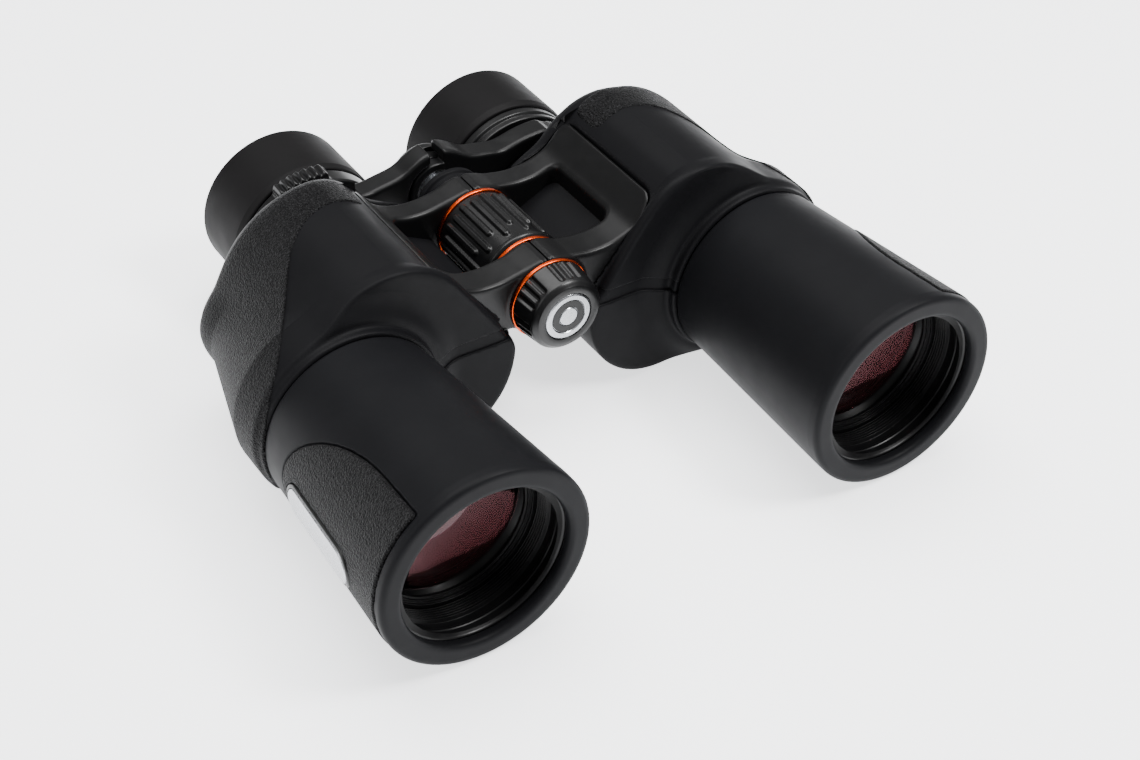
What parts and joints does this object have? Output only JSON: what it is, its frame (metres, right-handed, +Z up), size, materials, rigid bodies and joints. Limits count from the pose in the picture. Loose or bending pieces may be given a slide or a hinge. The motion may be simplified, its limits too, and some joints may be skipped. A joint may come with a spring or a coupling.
{
  "type": "binoculars",
  "caption": "Porro-prism astronomy binoculars with rubber armour, centre focus wheel, folding hinge, twist-up eyecups and a capped tripod socket.",
  "frame": {"origin": "on the surface that the binoculars rest on, under the middle of the whole object", "axes": "+X to the user's left barrel, +Y along the optical axes towards the user's eyes, +Z up through the top of the housings"},
  "size_m": [0.2104, 0.192, 0.072],
  "materials": {
    "armour_rubber": "satin black moulded rubber",
    "grip_rubber": "fine pebble-grained black rubber",
    "cast_black": "semi-gloss black enamel on cast aluminium",
    "anodised_black": "matte black anodised",
    "hard_plastic": "satin black moulded plastic",
    "eyecup_rubber": "smooth matte black rubber",
    "orange_anodised": "bright orange anodised",
    "badge_metal": "brushed bright plate",
    "steel": "turned steel",
    "screw_steel": "blackened steel",
    "brass": "machined brass",
    "coated_glass": "optical glass with a dark red multi-coating",
    "optical_glass": "polished optical glass"
  },
  "bodies": {
    "left_half": {"left_prism_housing": "cast_black", "left_upper_armour": "armour_rubber", "left_lower_armour": "armour_rubber", "left_grip_pads": "grip_rubber", "left_objective_tube": "anodised_black", "left_tube_armour": "armour_rubber", "left_badge": "badge_metal", "left_objective_cell": "anodised_black", "left_retaining_ring": "anodised_black", "left_crown_lens": "coated_glass", "left_flint_lens": "optical_glass", "left_front_prism": "optical_glass", "left_rear_prism": "optical_glass", "left_prism_shelf": "anodised_black", "left_prism_clips": "steel", "left_rear_cover": "cast_black", "left_cover_screws": "screw_steel", "hinge_pin": "steel", "tripod_socket": "brass", "hinge_sleeve": "steel", "dust_ring": "armour_rubber"},
    "right_half": {"right_prism_housing": "cast_black", "right_upper_armour": "armour_rubber", "right_lower_armour": "armour_rubber", "right_grip_pads": "grip_rubber", "right_objective_tube": "anodised_black", "right_tube_armour": "armour_rubber", "right_badge": "badge_metal", "right_objective_cell": "anodised_black", "right_retaining_ring": "anodised_black", "right_crown_lens": "coated_glass", "right_flint_lens": "optical_glass", "right_front_prism": "optical_glass", "right_rear_prism": "optical_glass", "right_prism_shelf": "anodised_black", "right_prism_clips": "steel", "right_rear_cover": "cast_black", "right_cover_screws": "screw_steel"},
    "focus_wheel": {"focus_wheel": "anodised_black", "focus_grip": "armour_rubber", "wheel_trim_rings": "orange_anodised"},
    "left_ocular": {"left_bridge_arm": "cast_black", "focus_spindle": "steel", "bridge_cap": "hard_plastic", "left_eyepiece_barrel": "anodised_black", "left_field_lens": "optical_glass", "left_eye_lens": "coated_glass", "left_eyepiece_ring": "hard_plastic"},
    "right_ocular": {"right_bridge_arm": "cast_black"},
    "right_eyepiece": {"right_eyepiece_barrel": "anodised_black", "right_field_lens": "optical_glass", "right_eye_lens": "coated_glass"},
    "diopter_ring": {"diopter_ring": "hard_plastic"},
    "left_cup_sleeve": {"left_eyecup_sleeve": "hard_plastic"},
    "left_eyecup": {"left_eyecup": "eyecup_rubber"},
    "right_cup_sleeve": {"right_eyecup_sleeve": "hard_plastic"},
    "right_eyecup": {"right_eyecup": "eyecup_rubber"},
    "front_cap": {"front_cap": "hard_plastic", "cap_trim_ring": "orange_anodised", "cap_emblem": "badge_metal"}
  },
  "joints": [
    {"name": "hinge_fold", "type": "hinge", "parent": "left_half", "child": "right_half", "pos_m": [0, 0, 0.042], "axis": [0, -1, 0], "range_deg": [0, 46]},
    {"name": "focus_turn", "type": "hinge", "parent": "left_half", "child": "focus_wheel", "pos_m": [0, 0.015, 0.042], "axis": [0, -1, 0], "range_deg": [-140.2, 220.2]},
    {"name": "left_focus", "type": "slide", "parent": "left_half", "child": "left_ocular", "axis": [0, 1, 0], "range_m": [-0.0035, 0.0055]},
    {"name": "right_focus", "type": "slide", "parent": "right_half", "child": "right_ocular", "axis": [0, 1, 0], "range_m": [-0.00351, 0.00551]},
    {"name": "diopter_turn", "type": "hinge", "parent": "right_eyepiece", "child": "diopter_ring", "pos_m": [-0.0378, 0.067, 0.0264], "axis": [0, -1, 0], "range_deg": [-45.2, 45.2]},
    {"name": "diopter_shift", "type": "slide", "parent": "right_ocular", "child": "right_eyepiece", "axis": [0, 1, 0], "range_m": [-0.001, 0.001]},
    {"name": "left_eyecup_twist", "type": "hinge", "parent": "left_cup_sleeve", "child": "left_eyecup", "pos_m": [0.0378, 0.083, 0.0264], "axis": [0, -1, 0], "range_deg": [0, 100.3]},
    {"name": "left_eyecup_rise", "type": "slide", "parent": "left_ocular", "child": "left_cup_sleeve", "axis": [0, 1, 0], "range_m": [0, 0.008]},
    {"name": "right_eyecup_twist", "type": "hinge", "parent": "right_cup_sleeve", "child": "right_eyecup", "pos_m": [-0.0378, 0.083, 0.0264], "axis": [0, -1, 0], "range_deg": [0, 100.3]},
    {"name": "right_eyecup_rise", "type": "slide", "parent": "right_eyepiece", "child": "right_cup_sleeve", "axis": [0, 1, 0], "range_m": [0, 0.008]},
    {"name": "cap_pull_off", "type": "slide", "parent": "left_half", "child": "front_cap", "axis": [0, -1, 0], "range_m": [0, 0.045]}
  ],
  "couplings": [
    {"joint": "focus_turn", "follows": "left_focus", "rad_per_m": 698.13},
    {"joint": "right_focus", "follows": "left_focus", "ratio": 1},
    {"joint": "diopter_turn", "follows": "diopter_shift", "rad_per_m": 785.4},
    {"joint": "left_eyecup_twist", "follows": "left_eyecup_rise", "rad_per_m": 218.17},
    {"joint": "right_eyecup_twist", "follows": "right_eyecup_rise", "rad_per_m": 218.17}
  ]
}
